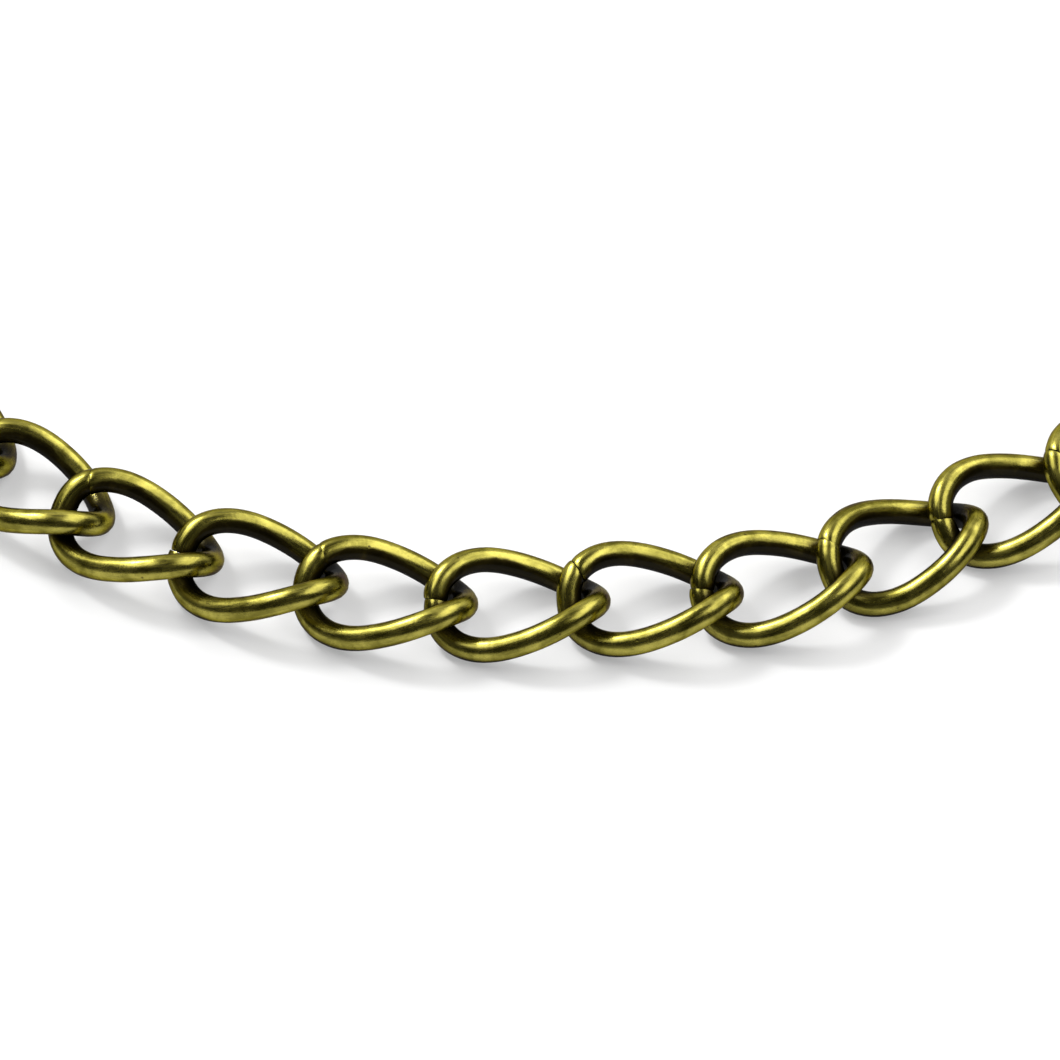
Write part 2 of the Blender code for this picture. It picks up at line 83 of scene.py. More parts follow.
def add_maths(tree, operation, *values):
    """Add a Math node, and return its output."""
    return add_node(tree, "ShaderNodeMath", dict(enumerate(values)), operation=operation).outputs[0]


def colour(hex_code):
    """Linear RGBA from an sRGB hex value."""
    channels = [int(hex_code[at:at + 2], 16) / 255 for at in (1, 3, 5)]
    linear = [c / 12.92 if c <= 0.04045 else ((c + 0.055) / 1.055) ** 2.4 for c in channels]
    return (*linear, 1.0)


def add_object(name, data):
    """Make an object of some data, and add it to the scene."""
    thing = bpy.data.objects.new(name, data)
    bpy.context.scene.collection.objects.link(thing)
    return thing


# %% [markdown]
# ## Antique brass
# The chain is brass wire that was blackened in a chemical bath, tumbled so that the black stays only
# where nothing rubs, and waxed. The eye sees a greenish gold with soft streaks along the wire, a
# brown-black on the inside of each loop and in the corners where loops meet, and a few small pits. That
# brown-black is partly the patina and partly painted shade: the shade and the dark reflections there are
# painted into the colour. The loop tree writes how far each point faces the inside of its loop, and an
# Ambient Occlusion node finds the corners from the geometry, so both stay dark from any side and under
# any light.


# %% The antique brass material
# The sizes of the marks are in millimetres.
GRAIN = 0.16
GRAIN_DEPTH = 0.012
PATCH = 1.6
# How far the painted shade and patina of the corners reach.
RECESS = 1.8
STREAK = 0.22
PIT_SPACING = 0.9

# How strongly each kind of mark shows, and the clear wax over them.
PATCHINESS = 0.7
STREAKINESS = 0.6
GRAIN_DARKNESS = 0.35
PIT_DARKNESS = 0.8
PIT_TO_GRAIN_DEPTH = 2.0
BUMPINESS = 0.3
WAX = 0.14
WAX_ROUGHNESS = 0.2
METAL_DULL = "#6A6423"
METAL_BRIGHT = "#A69D48"
METAL_GLANCING = "#827A40"
# Patina colours, which also stand for painted shade on the inside of the loops and in the corners.
PATINA_AND_SHADE_BROWN = "#433A16"
PATINA_AND_SHADE_BLACK = "#1D1907"


def antique_brass():
    """Tumbled and waxed antique brass, with shade painted into its patina."""
    material = bpy.data.materials.new("antique_brass_tumbled")
    material.use_nodes = True
    tree = material.node_tree
    shader = tree.nodes["Principled BSDF"]
    place = add_node(tree, "ShaderNodeTexCoord").outputs["Object"]
    maths = partial(add_maths, tree)

    def stepped(value, low, high, start=0.0, end=1.0):
        """A smooth ramp from start to end, while the value goes from low to high."""
        return add_node(tree, "ShaderNodeMapRange", {
            "Value": value, "From Min": low, "From Max": high, "To Min": start, "To Max": end,
        }, interpolation_type="SMOOTHSTEP").outputs[0]

    def blend(factor, first, second):
        return add_node(tree, "ShaderNodeMix", {"Factor": factor, 6: first, 7: second},
                        data_type="RGBA").outputs[2]

    # Where it is dark, as patina and as painted shade: on the inside of a loop, unevenly, and in
    # corners.
    patches = add_node(tree, "ShaderNodeTexNoise", {
        "Vector": place, "Scale": 1 / (PATCH * MM), "Detail": 4.0, "Roughness": 0.6, "Distortion": 0.6,
    }).outputs["Fac"]
    grain = add_node(tree, "ShaderNodeTexNoise", {
        "Vector": place, "Scale": 1 / (GRAIN * MM), "Detail": 3.0, "Roughness": 0.65,
    }).outputs["Fac"]
    # Painted shade and patina: the inside of each loop is darkened, standing for the shade and dark
    # reflections there.
    inside = add_node(tree, "ShaderNodeAttribute", attribute_name="inside").outputs["Fac"]
    # Painted shade and patina: corners and parts near other surfaces, found by occlusion, are darkened.
    corners = add_node(tree, "ShaderNodeAmbientOcclusion", {"Distance": RECESS * MM}, samples=8)
    unevenness = maths("MULTIPLY_ADD", maths("SUBTRACT", patches, 0.5), PATCHINESS, inside)
    inner = stepped(unevenness, 0.5, 1.0)
    corner = stepped(corners.outputs["AO"], 0.35, 0.85, 1.0, 0.0)
    dark = maths("MAXIMUM", inner, corner)

    # The streaks of the drawing die, and the pits.
    drawn = add_node(tree, "ShaderNodeAttribute", attribute_name="drawn").outputs["Vector"]
    streaks = add_node(tree, "ShaderNodeTexNoise", {
        "Vector": drawn, "Scale": 1 / STREAK, "Detail": 4.0, "Roughness": 0.7,
    }).outputs["Fac"]
    spots = add_node(tree, "ShaderNodeTexVoronoi", {"Vector": place, "Scale": 1 / (PIT_SPACING * MM)})
    pits = stepped(spots.outputs["Distance"], 0.05, 0.1, 1.0, 0.0)

    # Bare metal, dull to bright, then its specks, then brown over both, and black over the brown.
    # The brown and the black over the dark mask are patina and painted shade together.
    worn = maths("MULTIPLY_ADD", maths("SUBTRACT", streaks, 0.5), STREAKINESS, patches)
    metal = blend(stepped(worn, 0.3, 0.7), colour(METAL_DULL), colour(METAL_BRIGHT))
    grainy = maths("MULTIPLY", stepped(grain, 0.55, 0.75), GRAIN_DARKNESS)
    specks = maths("MAXIMUM", grainy, maths("MULTIPLY", pits, PIT_DARKNESS))
    speckled = blend(specks, metal, colour(PATINA_AND_SHADE_BROWN))
    # Painted shade, with the patina: brown and then black where it is dark.
    browned_and_shaded = blend(stepped(dark, 0.05, 0.5), speckled, colour(PATINA_AND_SHADE_BROWN))
    blackened_and_shaded = blend(stepped(dark, 0.35, 1.0), browned_and_shaded, colour(PATINA_AND_SHADE_BLACK))

    # Streaks and grain dull the shine a little, and the patina and painted shade dull it most.
    marks = maths("ADD", maths("MULTIPLY", grain, 0.14), stepped(streaks, 0.35, 0.7, 0.0, 0.12))
    rough = maths("ADD", marks, stepped(dark, 0.1, 0.9, 0.15, 0.38))
    height = maths("SUBTRACT", grain, maths("MULTIPLY", pits, PIT_TO_GRAIN_DEPTH))
    bump = add_node(tree, "ShaderNodeBump", {
        "Height": height, "Strength": BUMPINESS, "Distance": GRAIN_DEPTH * MM,
    }).outputs["Normal"]
    tree.links.new(blackened_and_shaded, shader.inputs["Base Color"])
    tree.links.new(rough, shader.inputs["Roughness"])
    tree.links.new(bump, shader.inputs["Normal"])
    shader.inputs["Metallic"].default_value = 1.0
    shader.inputs["Specular Tint"].default_value = colour(METAL_GLANCING)
    shader.inputs["Coat Weight"].default_value = WAX
    shader.inputs["Coat Roughness"].default_value = WAX_ROUGHNESS
    return material


brass = antique_brass()
print("material:", brass.name)

# %% [markdown]
# ## Where each loop lies
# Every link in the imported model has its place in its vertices, so its own axes have to be found again.
# A curb link looks the same after half a turn about any of its three axes, so the directions in which
# its surface spreads most, less and least are exactly its length, its width and its height.


# %% Find a loop's own axes
MIDDLE_SHARE = 9


def spread(node):
    """The middle of a node's surface, and the axes along which it spreads, from most to least.

    A triangle's second moment goes with its area times the squares of its three corners, each counted
    once, plus that of its middle, counted MIDDLE_SHARE times.
    """
    mesh = frame["nodes"][node].data
    mesh.calc_loop_triangles()
    vertices = np.array([vertex.co for vertex in mesh.vertices])
    corners = vertices[np.array([triangle.vertices for triangle in mesh.loop_triangles])]
    sides = corners[:, 1:] - corners[:, :1]
    areas = np.linalg.norm(np.cross(sides[:, 0], sides[:, 1]), axis=1)
    middles = corners.mean(axis=1)
    middle = (middles * areas[:, None]).sum(axis=0) / areas.sum()
    corners = corners - middle
    middles = middles - middle
    moments = np.einsum("t,tci,tcj->ij", areas, corners, corners)
    moments += MIDDLE_SHARE * np.einsum("t,ti,tj->ij", areas, middles, middles)
    axes = np.linalg.eigh(moments)[1][:, ::-1].T
    return Vector(middle), [Vector(axis) for axis in axes]


LINKS = sorted(name for name in frame["nodes"] if name.startswith("link_"))
LOOPS = ["tbar_bail", "tbar_jump_ring", *LINKS, "clasp_jump_ring"]
spreads = {name: spread(name) for name in LOOPS}


def loop_place(name):
    """A loop's frame, in millimetres: x along the chain towards the clasp, y across, z up."""
    centre, (longest, _, flattest) = spreads[name]
    at = LOOPS.index(name)
    before, after = LOOPS[max(at - 1, 0)], LOOPS[min(at + 1, len(LOOPS) - 1)]
    onwards = spreads[after][0] - spreads[before][0]
    up = flattest * math.copysign(1, flattest.z)
    along = longest if name in LINKS else onwards
    along = (along - up * along.dot(up)).normalized()
    along *= math.copysign(1, along.dot(onwards))
    axes = Matrix((along, up.cross(along), up)).transposed()
    return Matrix.Translation(centre) @ axes.to_4x4() @ Matrix.Scale(MM, 4)


print("links:", len(LINKS), "first at", [round(x, 4) for x in loop_place(LINKS[0]).translation])

# %% [markdown]
# ## A tree for every loop of wire
# A link is cut from wire, bent round a former, twisted, and closed until its two ends butt. So the tree
# does the same: it takes a line, bends it into a squarish oval, turns it more and more along its
# length, and sweeps a round wire along it. The line's two ends stay apart by a hair, cut at a slant,
# which is the seam. A jump ring is the same tree with a round shape and no twist. The sizes are in
# millimetres.


# %% The loop tree
PATH_POINTS = 400
WIRE_POINTS = 84
WIRE_SIDES = 20
END_CROWDING = 1.5
SEAM_REACH = 0.8
ROUNDING_REACH = 0.7
DENTS_PER_MM = 0.7
LENGTHWISE_SHARE = 0.1


def loop_tree():
    """A closed loop of round wire with a butt seam at the end away from the clasp.

    The defaults are a curb link's. Seam Turn is how far from that end the seam lies, along the wire.
    """
    tree = bpy.data.node_groups.new("wire_loop", "GeometryNodeTree")
    tree.interface.new_socket("Geometry", in_out="OUTPUT", socket_type="NodeSocketGeometry")
    sizes = {"Length": 9.12, "Width": 6.40, "Wire": 1.24, "Squareness": 2.34, "Twist": 74.0,
             "Seam Gap": 0.004, "Seam Slant": 0.5, "Seam Step": 0.05, "Seam Turn": 0.0,
             "Seam Rounding": 0.12, "Dents": 0.012}
    for name, value in sizes.items():
        socket = tree.interface.new_socket(name, in_out="INPUT", socket_type="NodeSocketFloat")
        socket.default_value = value
    tree.interface.new_socket("Seed", in_out="INPUT", socket_type="NodeSocketInt")
    tree.interface.new_socket("Material", in_out="INPUT", socket_type="NodeSocketMaterial")
    given = add_node(tree, "NodeGroupInput").outputs
    maths = partial(add_maths, tree)

    def vectors(operation, inputs, output="Vector"):
        return add_node(tree, "ShaderNodeVectorMath", inputs, operation=operation).outputs[output]

    def signed_power(value, power):
        size = maths("POWER", maths("ABSOLUTE", value), power)
        return maths("MULTIPLY", size, maths("SIGN", value))

    half_length = maths("MULTIPLY", maths("SUBTRACT", given["Length"], given["Wire"]), 0.5)
    half_width = maths("MULTIPLY", maths("SUBTRACT", given["Width"], given["Wire"]), 0.5)
    half_twist = maths("MULTIPLY", maths("RADIANS", given["Twist"]), 0.5)

    # The middle of the wire.
    line = add_node(tree, "GeometryNodeCurvePrimitiveLine", {"End": (1, 0, 0)})
    path = add_node(tree, "GeometryNodeResampleCurve", {0: line.outputs[0], "Count": PATH_POINTS})
    along_path = add_node(tree, "GeometryNodeSplineParameter").outputs["Factor"]
    angle = maths("MULTIPLY_ADD", along_path, math.tau, math.pi)
    power = maths("DIVIDE", 2.0, given["Squareness"])
    along = maths("MULTIPLY", half_length, signed_power(maths("COSINE", angle), power))
    across = maths("MULTIPLY", half_width, signed_power(maths("SINE", angle), power))
    turn = maths("MULTIPLY", maths("DIVIDE", along, half_length), maths("MULTIPLY", half_twist, -1.0))
    bent = add_node(tree, "ShaderNodeCombineXYZ", {
        0: along, 1: maths("MULTIPLY", across, maths("COSINE", turn)),
        2: maths("MULTIPLY", across, maths("SINE", turn)),
    })
    path = add_node(tree, "GeometryNodeSetPosition", {0: path.outputs[0], "Position": bent.outputs[0]})

    # The wire's own points, crowded towards the seam, and its ends held apart by the gap.
    length = add_node(tree, "GeometryNodeCurveLength", {0: path.outputs[0]}).outputs[0]
    wire = add_node(tree, "GeometryNodeResampleCurve", {0: line.outputs[0], "Count": WIRE_POINTS})
    factor = add_node(tree, "GeometryNodeSplineParameter").outputs["Factor"]
    signed = maths("MULTIPLY_ADD", factor, 2.0, -1.0)
    eased = maths("POWER", maths("SUBTRACT", 1.0, maths("ABSOLUTE", signed)), END_CROWDING)
    crowded = maths("MULTIPLY", maths("SIGN", signed), maths("SUBTRACT", 1.0, eased))
    spare = maths("SUBTRACT", length, given["Seam Gap"])
    half_way = maths("MULTIPLY", length, 0.5)
    onwards = maths("MULTIPLY_ADD", maths("MULTIPLY", crowded, spare), 0.5, half_way)
    distance = maths("FLOORED_MODULO", maths("SUBTRACT", onwards, given["Seam Turn"]), length)
    sampled = add_node(tree, "GeometryNodeSampleCurve", {0: path.outputs[0], "Length": distance},
                       mode="LENGTH").outputs["Position"]
    wire = add_node(tree, "GeometryNodeSetPosition", {0: wire.outputs[0], "Position": sampled})
    to_end = maths("MULTIPLY", maths("MULTIPLY", eased, spare), 0.5)
    position = add_node(tree, "GeometryNodeInputPosition").outputs[0]
    direction = add_node(tree, "GeometryNodeInputTangent").outputs[0]
    kept = add_node(tree, "GeometryNodeCaptureAttribute", {0: wire.outputs[0]})
    for kind, item, value in (
        ("FLOAT", "to_seam", to_end),
        ("FLOAT", "side", maths("SIGN", signed)),
        ("VECTOR", "middle", position),
        ("VECTOR", "tangent", direction),
        ("FLOAT", "distance", distance),
    ):
        kept.capture_items.new(kind, item)
        tree.links.new(value, kept.inputs[item])
    to_seam, side, middle, tangent, along_wire = (kept.outputs[item.name] for item in kept.capture_items)

    # Sweep the wire. Its ends are a little rounded by the tumbling.
    rounding = given["Seam Rounding"]
    reach = maths("MULTIPLY", rounding, ROUNDING_REACH)
    end_share = maths("MINIMUM", maths("DIVIDE", to_end, reach), 1.0)
    short_of_one = maths("POWER", maths("SUBTRACT", 1.0, end_share), 2.0)
    bulge = maths("SQRT", maths("SUBTRACT", 1.0, short_of_one))
    rounded = maths("ADD", maths("MULTIPLY", bulge, rounding), maths("SUBTRACT", 1.0, rounding))
    section = add_node(tree, "GeometryNodeCurvePrimitiveCircle", {
        "Resolution": WIRE_SIDES, "Radius": maths("MULTIPLY", given["Wire"], 0.5),
    })
    around = add_node(tree, "GeometryNodeCaptureAttribute", {0: section.outputs[0]})
    around.capture_items.new("VECTOR", "around")
    tree.links.new(position, around.inputs["around"])
    swept = add_node(tree, "GeometryNodeCurveToMesh", {
        0: kept.outputs[0], 1: around.outputs[0], "Scale": rounded, "Fill Caps": True,
    })

    # Slant the cut and set one end a hair further out than the other.
    off_middle = vectors("SUBTRACT", {0: position, 1: middle})
    x = add_node(tree, "ShaderNodeSeparateXYZ", {0: off_middle}).outputs[0]
    near = add_node(tree, "ShaderNodeMapRange", {
        "Value": to_seam, "From Max": SEAM_REACH, "To Min": 1.0, "To Max": 0.0,
    }, interpolation_type="SMOOTHSTEP").outputs[0]
    slide = maths("MULTIPLY", maths("MULTIPLY", x, given["Seam Slant"]), near)
    step = maths("MULTIPLY", maths("MULTIPLY", side, given["Seam Step"]), near)
    slid = vectors("SCALE", {0: tangent, "Scale": slide})
    further_out = add_node(tree, "ShaderNodeCombineXYZ", {0: step}).outputs[0]
    shift = vectors("ADD", {0: slid, 1: further_out})
    cut = add_node(tree, "GeometryNodeSetPosition", {0: swept.outputs[0], "Offset": shift})

    # Shallow dents from the former and the tumbling.
    noise = add_node(tree, "ShaderNodeTexNoise", {
        "Vector": position, "W": given["Seed"], "Scale": DENTS_PER_MM, "Detail": 1.0,
    }, noise_dimensions="4D").outputs[0]
    normal = add_node(tree, "GeometryNodeInputNormal").outputs[0]
    amount = maths("MULTIPLY", given["Dents"], maths("SUBTRACT", 1.0, near))
    depth = maths("MULTIPLY", maths("MULTIPLY_ADD", noise, 2.0, -1.0), amount)
    dent = vectors("SCALE", {0: normal, "Scale": depth})
    dented = add_node(tree, "GeometryNodeSetPosition", {0: cut.outputs[0], "Offset": dent})

    # How far each point faces the inside of its loop, for the patina and painted shade there.
    level = vectors("MULTIPLY", {0: middle, 1: (1, 1, 0)})
    outwards = vectors("NORMALIZE", {0: level})
    outside = vectors("DOT_PRODUCT", {0: normal, 1: outwards}, "Value")
    marked = add_node(tree, "GeometryNodeStoreNamedAttribute", {
        0: dented.outputs[0], "Name": "inside", "Value": maths("MULTIPLY", outside, -1.0),
    }, data_type="FLOAT", domain="POINT")

    # Coordinates that run with the wire, for the drawing marks: round it, and slowly along it.
    slowly = maths("MULTIPLY", along_wire, LENGTHWISE_SHARE)
    lengthwise = add_node(tree, "ShaderNodeCombineXYZ", {2: slowly}).outputs[0]
    with_wire = vectors("ADD", {0: around.outputs["around"], 1: lengthwise})
    marked = add_node(tree, "GeometryNodeStoreNamedAttribute", {
        0: marked.outputs[0], "Name": "drawn", "Value": with_wire,
    }, data_type="FLOAT_VECTOR", domain="POINT")

    smooth = add_node(tree, "GeometryNodeSetShadeSmooth", {0: marked.outputs[0], "Shade Smooth": True})
    real = add_node(tree, "GeometryNodeRealizeInstances", {0: smooth.outputs[0]})
    done = add_node(tree, "GeometryNodeSetMaterial", {0: real.outputs[0], "Material": given["Material"]})
    add_node(tree, "NodeGroupOutput", {0: done.outputs[0]})
    return tree


wire_loop = loop_tree()


def set_inputs(modifier, values):
    """Set a modifier's inputs by the names its tree gives them."""
    for item in modifier.node_group.interface.items_tree:
        if item.item_type == "SOCKET" and item.in_out == "INPUT" and item.name in values:
            modifier[item.identifier] = values[item.name]


def plain_mesh(piece):
    """Replace an object by its evaluated mesh, so that no modifier is left."""
    depsgraph = bpy.context.evaluated_depsgraph_get()
    mesh = bpy.data.meshes.new_from_object(piece.evaluated_get(depsgraph), depsgraph=depsgraph)
    name = piece.name
    bpy.data.objects.remove(piece)
    return add_object(name, mesh)


def face_outwards(mesh, merge_distance=0.0):
    """Turn every face outwards, after merging vertices that lie nearer than a distance."""
    bm = bmesh.new()
    bm.from_mesh(mesh)
    if merge_distance:
        bmesh.ops.remove_doubles(bm, verts=bm.verts, dist=merge_distance)
    bmesh.ops.recalc_face_normals(bm, faces=bm.faces)
    bm.to_mesh(mesh)
    bm.free()


def make_loop(name, place, **values):
    """Run the loop tree once, and put the result in its place."""
    piece = add_object(name, bpy.data.meshes.new(name))
    bender = piece.modifiers.new("bender", "NODES")
    bender.node_group = wire_loop
    set_inputs(bender, {"Material": brass, **values})
    piece = plain_mesh(piece)
    piece.data.transform(place)
    face_outwards(piece.data)
    return piece


# Every piece of the chain, for the table to stay under.
chain = bpy.data.collections.new("chain")


def stands_for(piece, node, body):
    """This piece replaces a CAD node and moves with its body."""
    chain.objects.link(piece)
    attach(piece, body)
    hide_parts(node)


# Every other link has its seam on the near shoulder, cut on a slant, as a hairline. On the rest it lies
# close to the end of the loop and its two ends are rounder, so it shows as a notch. From link to link
# the seam's place and the step between its ends wander a little, each at a pace of its own.
SCARFED = {"Seam Turn": 1.7, "Seam Slant": 0.5, "Seam Gap": 0.003, "Seam Rounding": 0.05}
NOTCHED = {"Seam Turn": 0.3, "Seam Slant": 0.15, "Seam Gap": 0.004, "Seam Rounding": 0.11}
TURN_WANDER, TURN_PACE = 0.2, 2.4
STEP_WANDER, STEP_PACE = 0.04, 1.7

for index, name in enumerate(LINKS):
    values = dict(NOTCHED if index % 2 else SCARFED)
    values["Seam Turn"] += TURN_WANDER * math.sin(TURN_PACE * index)
    values["Seam Step"] = STEP_WANDER * math.cos(STEP_PACE * index)
    values["Seed"] = index
    piece = make_loop("curb_" + name, loop_place(name), **values)
    stands_for(piece, name, name)
print("vertices in a link:", len(piece.data.vertices))

RING = {"Squareness": 2.0, "Twist": 0.0, "Seam Slant": 0.2, "Seam Step": 0.03, "Seam Rounding": 0.08}
for name, body, outer, wire in (
    ("tbar_jump_ring", "tbar_jump_ring", 6.0, 0.9),
    ("clasp_jump_ring", "clasp_jump_ring", 6.0, 0.9),
    ("tbar_bail", "tbar", 5.4, 1.0),
):
    piece = make_loop("round_" + name, loop_place(name), Length=outer, Width=outer, Wire=wire, **RING)
    stands_for(piece, name, body)

# %% [markdown]
# ## The T-bar
# The bar, its collar and its two balls are turned on a lathe, so one helper spins a profile round an
# axis. The bar tapers towards the balls, which are soldered on, and a bead hides each joint. The ring on
# the collar is the same wire loop as the jump rings. The sizes stay in millimetres until a piece is
# settled in its place.


# %% The lathe helper
LATHE_SIDES = 56
SHARP_ANGLE = math.radians(38)
MERGE_DISTANCE = 0.0005


def lathe(name, profile, closed=False):
    """Spin (radius, height) pairs round the z axis, in millimetres. A closed profile makes a ring."""
    mesh = bpy.data.meshes.new(name)
    rows = profile + profile[:1] if closed else profile
    bm = bmesh.new()
    vertices = [bm.verts.new((radius, 0, height)) for radius, height in rows]
    edges = [bm.edges.new(pair) for pair in zip(vertices, vertices[1:])]
    bmesh.ops.spin(bm, geom=vertices + edges, axis=(0, 0, 1), cent=(0, 0, 0), dvec=(0, 0, 0),
                   angle=math.tau, steps=LATHE_SIDES)
    bm.to_mesh(mesh)
    bm.free()
    face_outwards(mesh, MERGE_DISTANCE)
    return add_object(name, mesh)


def ball_profile(radius, start, end, steps):
    """Points on a circle round the origin between two polar angles in degrees, for a ball."""
    angles = [math.radians(start + (end - start) * step / steps) for step in range(steps + 1)]
    return [(radius * math.sin(angle), radius * math.cos(angle)) for angle in angles]


def ring_profile(radius, wire, steps=24):
    """The section of a ring of round wire."""
    angles = [math.tau * step / steps for step in range(steps)]
    return [(radius + wire / 2 * math.cos(angle), wire / 2 * math.sin(angle)) for angle in angles]


def mirrored(half):
    """A whole profile from its upper half."""
    return half + [(radius, -height) for radius, height in reversed(half)]


def settle(piece, place, node, body, material=brass):
    """Put a finished piece in its place, with its material, and let it stand for a CAD node."""
    piece.data.transform(place @ Matrix.Scale(MM, 4))
    piece.data.materials.clear()
    piece.data.materials.append(material)
    piece.data.shade_smooth()
    piece.data.set_sharp_from_angle(angle=SHARP_ANGLE)
    stands_for(piece, node, body)


# %% Turn the T-bar's pieces
BAR_HALF = 10.2
BAR_RADIUS = 1.2
BAR_TIP_RADIUS = 0.8
BAR_SHOULDER = 2.45
BEAD_RADIUS = 1.02
BEAD_WIDTH = 0.34
BEAD_STEPS = 6
TIP_LENGTH = 0.1
SWELL_LENGTH = 0.5
SWELL_SHARE = 0.97
BALL_RADIUS = 1.7
BALL_FLAT_RADIUS = 0.6
BALL_STEPS = 26
COLLAR_HALF = 1.6
COLLAR_BORE = 1.25
COLLAR_RADIUS = 1.7
COLLAR_EDGE = 0.25
COLLAR_EDGE_MIDDLE = 0.07
COLLAR_RIM = 0.45
COLLAR_WAIST = 0.12
SEAT = 0.05

rod_low, rod_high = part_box("tbar_rod")
along_bar = Matrix.Rotation(math.pi / 2, 4, "Y")
bar_place = Matrix.Translation((rod_low + rod_high) / 2) @ along_bar


def half_bar():
    """The rod from its tip, inside the ball, over a bead and the taper to the thick middle."""
    bead = BAR_HALF - BEAD_WIDTH
    tip = BAR_HALF + 2 * SEAT
    half = [(0, tip), (BAR_TIP_RADIUS, tip), (BAR_TIP_RADIUS, BAR_HALF - TIP_LENGTH)]
    for step in range(BEAD_STEPS + 1):
        angle = math.pi * step / BEAD_STEPS
        swell = (BEAD_RADIUS - BAR_TIP_RADIUS) * math.sin(angle)
        half.append((BAR_TIP_RADIUS + swell, bead - BEAD_WIDTH / 2 * (1 - math.cos(angle))))
    half += [(BAR_RADIUS * SWELL_SHARE, BAR_SHOULDER + SWELL_LENGTH), (BAR_RADIUS, BAR_SHOULDER)]
    return half


settle(lathe("turned_tbar_rod", mirrored(half_bar())), bar_place, "tbar_rod", "tbar")

rim = COLLAR_HALF - COLLAR_RIM
half_collar = [
    (COLLAR_BORE, COLLAR_HALF),
    (COLLAR_RADIUS - COLLAR_EDGE, COLLAR_HALF),
    (COLLAR_RADIUS - COLLAR_EDGE_MIDDLE, COLLAR_HALF - COLLAR_EDGE_MIDDLE),
    (COLLAR_RADIUS, COLLAR_HALF - COLLAR_EDGE),
    (COLLAR_RADIUS, rim),
    (COLLAR_RADIUS - COLLAR_WAIST, rim - COLLAR_WAIST),
]
collar = lathe("turned_tbar_collar", mirrored(half_collar), closed=True)
settle(collar, bar_place, "tbar_collar", "tbar")

seat_angle = math.degrees(math.asin(BAR_TIP_RADIUS / BALL_RADIUS))
pole_angle = math.degrees(math.asin(BALL_FLAT_RADIUS / BALL_RADIUS))
surface = ball_profile(BALL_RADIUS, pole_angle, 180 - seat_angle, BALL_STEPS)
ball = [(0, surface[0][1]), *surface, (0, surface[-1][1])]
ball_offset = (BAR_HALF + SEAT - surface[-1][1]) * MM
for name in ("tbar_ball_left", "tbar_ball_right"):
    side = math.copysign(1, sum(corner.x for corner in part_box(name)) - rod_low.x - rod_high.x)
    outwards = Matrix.Rotation(0 if side > 0 else math.pi, 4, "X")
    place = bar_place @ Matrix.Translation((0, 0, side * ball_offset)) @ outwards
    settle(lathe("turned_" + name, ball), place, name, "tbar")
print("T-bar length:", round(2 * (ball_offset / MM + surface[0][1]), 1), "mm")

# %% [markdown]
# ## The swivel and its clasp
# The clasp is a flat hook. It turns on the post of the swivel eye, whose head is peened over inside the
# hook's base. The eye is a ring of wire with the turned post joined to it by a Boolean union. The joints
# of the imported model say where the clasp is: its frame has x along the hook, z up and its gate on the
# left.


# %% The clasp's frame, and the swivel eye
EYE_DIAMETER = 6.4
EYE_WIRE = 1.2
EYE_LEAN = -20
EYE_TO_BASE = 4.0
CLASP_BASE = 2.4
RUN = 0.1
POST_RADIUS = 0.8
HEAD_RADIUS = 1.4
HEAD_HEIGHT = 0.8
FLANGE_RADIUS = 1.3
FLANGE_HEIGHT = 0.4
DOME_STEPS = 9

joints = {joint["name"]: joint for joint in frame["joints"]}
spin_axis = Vector(joints["swivel_spin"]["axis"])
spin_place = Vector(joints["swivel_spin"]["pos_m"])
upwards = Vector((0, 0, 1))
clasp_axes = Matrix((spin_axis, upwards.cross(spin_axis), upwards)).transposed().to_4x4()
clasp_place = Matrix.Translation(spin_place) @ clasp_axes
eye_place = clasp_place @ Matrix.Translation((-EYE_TO_BASE * MM, 0, 0))
eye_place = eye_place @ Matrix.Rotation(math.radians(EYE_LEAN), 4, "X")


def combine(piece, tools, operation):
    """Cut tools out of a piece, or join them on, and take the result as a plain mesh."""
    for tool in tools:
        step = piece.modifiers.new(tool.name, "BOOLEAN")
        step.operation = operation
        step.object = tool
    piece = plain_mesh(piece)
    for tool in tools:
        bpy.data.objects.remove(tool)
    face_outwards(piece.data, MERGE_DISTANCE)
    return piece


eye_radius = (EYE_DIAMETER - EYE_WIRE) / 2
head_start = EYE_TO_BASE + CLASP_BASE + RUN
head_end = head_start + HEAD_HEIGHT
flange_end = EYE_TO_BASE - RUN
flange_start = flange_end - FLANGE_HEIGHT
head_dome = [
    (HEAD_RADIUS * math.sin(angle), head_start + HEAD_HEIGHT / 2 * (1 + math.cos(angle)))
    for angle in (math.radians(90 * step / DOME_STEPS) for step in range(1, DOME_STEPS + 1))
]
flange_edge = FLANGE_HEIGHT / 4
post = [(0, head_end), *head_dome, (HEAD_RADIUS, head_start), (POST_RADIUS, head_start),
        (POST_RADIUS, flange_end), (FLANGE_RADIUS - flange_edge, flange_end),
        (FLANGE_RADIUS, flange_end - flange_edge), (FLANGE_RADIUS, flange_start + flange_edge),
        (FLANGE_RADIUS - flange_edge, flange_start), (POST_RADIUS, flange_start - POST_RADIUS / 2),
        (POST_RADIUS, eye_radius), (0, eye_radius)]
shank = lathe("shank", post)
shank.data.transform(Matrix.Rotation(math.pi / 2, 4, "Y"))
eye = lathe("swivel_eye_with_post", ring_profile(eye_radius, EYE_WIRE), closed=True)
eye = combine(eye, [shank], "UNION")
settle(eye, eye_place, "swivel_eye", "swivel_eye")
print("swivel eye:", len(eye.data.polygons), "faces")

# %% [markdown]
# ## The hook, its gate and its rivet
# The hook and the gate are stamped from sheet, so each starts as a flat outline. The outline is a 2D
# curve with a thickness and a rounded edge, which is how a stamped and tumbled edge looks. The post's
# bore, the gate's slot and the rivet's hole are then cut with Booleans, as a jeweller would drill and
# saw them.

